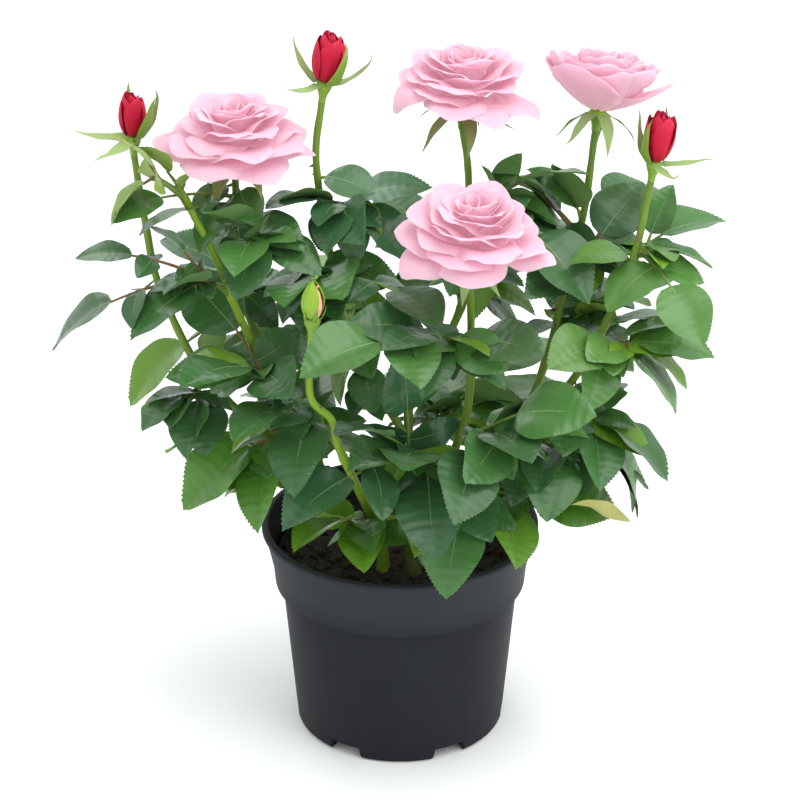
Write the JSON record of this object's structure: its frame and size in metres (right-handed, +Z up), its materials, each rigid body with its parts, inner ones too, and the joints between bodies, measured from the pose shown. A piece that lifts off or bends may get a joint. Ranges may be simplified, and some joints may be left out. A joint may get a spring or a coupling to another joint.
{
  "type": "potted miniature rose bush",
  "caption": "Miniature rose bush in bloom in its round black nursery pot, with upright canes, glossy compound leaves, open pink roses and red buds.",
  "frame": {"origin": "centre of the pot's flat underside, on the surface that it stands on", "axes": "+Z up along the pot's axis, -Y towards the side that the picture shows, +X to its right"},
  "size_m": [0.3013, 0.2222, 0.3398],
  "materials": {
    "pot": "satin black",
    "compost": "matt dark brown",
    "stem": "smooth green bark",
    "leaf": "glossy dark green",
    "petal": "soft pink",
    "bud": "soft crimson",
    "calyx": "satin light green"
  },
  "bodies": {
    "root": {"pot": "pot", "compost": "compost", "stem_left": "stem", "stem_centre": "stem", "stem_right": "stem", "stem_front": "stem", "cane_bud_left": "stem", "cane_young_left": "stem", "cane_bloom_left": "stem", "cane_bud_top": "stem", "cane_bloom_top": "stem", "cane_bloom_front": "stem", "cane_bud_front": "stem", "cane_bloom_right": "stem", "cane_bud_right": "stem", "bloom_left": "petal", "bloom_top": "petal", "bloom_front": "petal", "bloom_right": "petal", "bud_left": "bud", "bud_top": "bud", "bud_right": "bud", "bud_front": "calyx", "calyx_left": "calyx", "calyx_top": "calyx", "calyx_front": "calyx", "calyx_right": "calyx", "calyx_bud_left": "calyx", "calyx_bud_top": "calyx", "calyx_bud_right": "calyx", "calyx_bud_front": "calyx", "leaves_left_spray": "leaf", "leaves_left_top": "leaf", "leaves_left_upper": "leaf", "leaves_left_middle": "leaf", "leaves_left_side": "leaf", "leaves_left_lower": "leaf", "leaves_front_left": "leaf", "leaves_rim_left": "leaf", "leaves_rim_front": "leaf", "leaves_front_middle": "leaf", "leaves_front_right": "leaf", "leaves_front_upper": "leaf", "leaves_centre_left": "leaf", "leaves_centre_top": "leaf", "leaves_middle_top": "leaf", "leaves_right_top": "leaf", "leaves_right_spray": "leaf", "leaves_right_side": "leaf", "leaves_right_front": "leaf", "leaves_rim_right": "leaf", "leaves_right_upper": "leaf", "leaves_back_right": "leaf", "leaves_back_middle": "leaf", "leaves_back_left": "leaf", "leaves_back_centre": "leaf", "leaves_back_low_left": "leaf", "leaves_back_low_right": "leaf"}
  },
  "joints": []
}
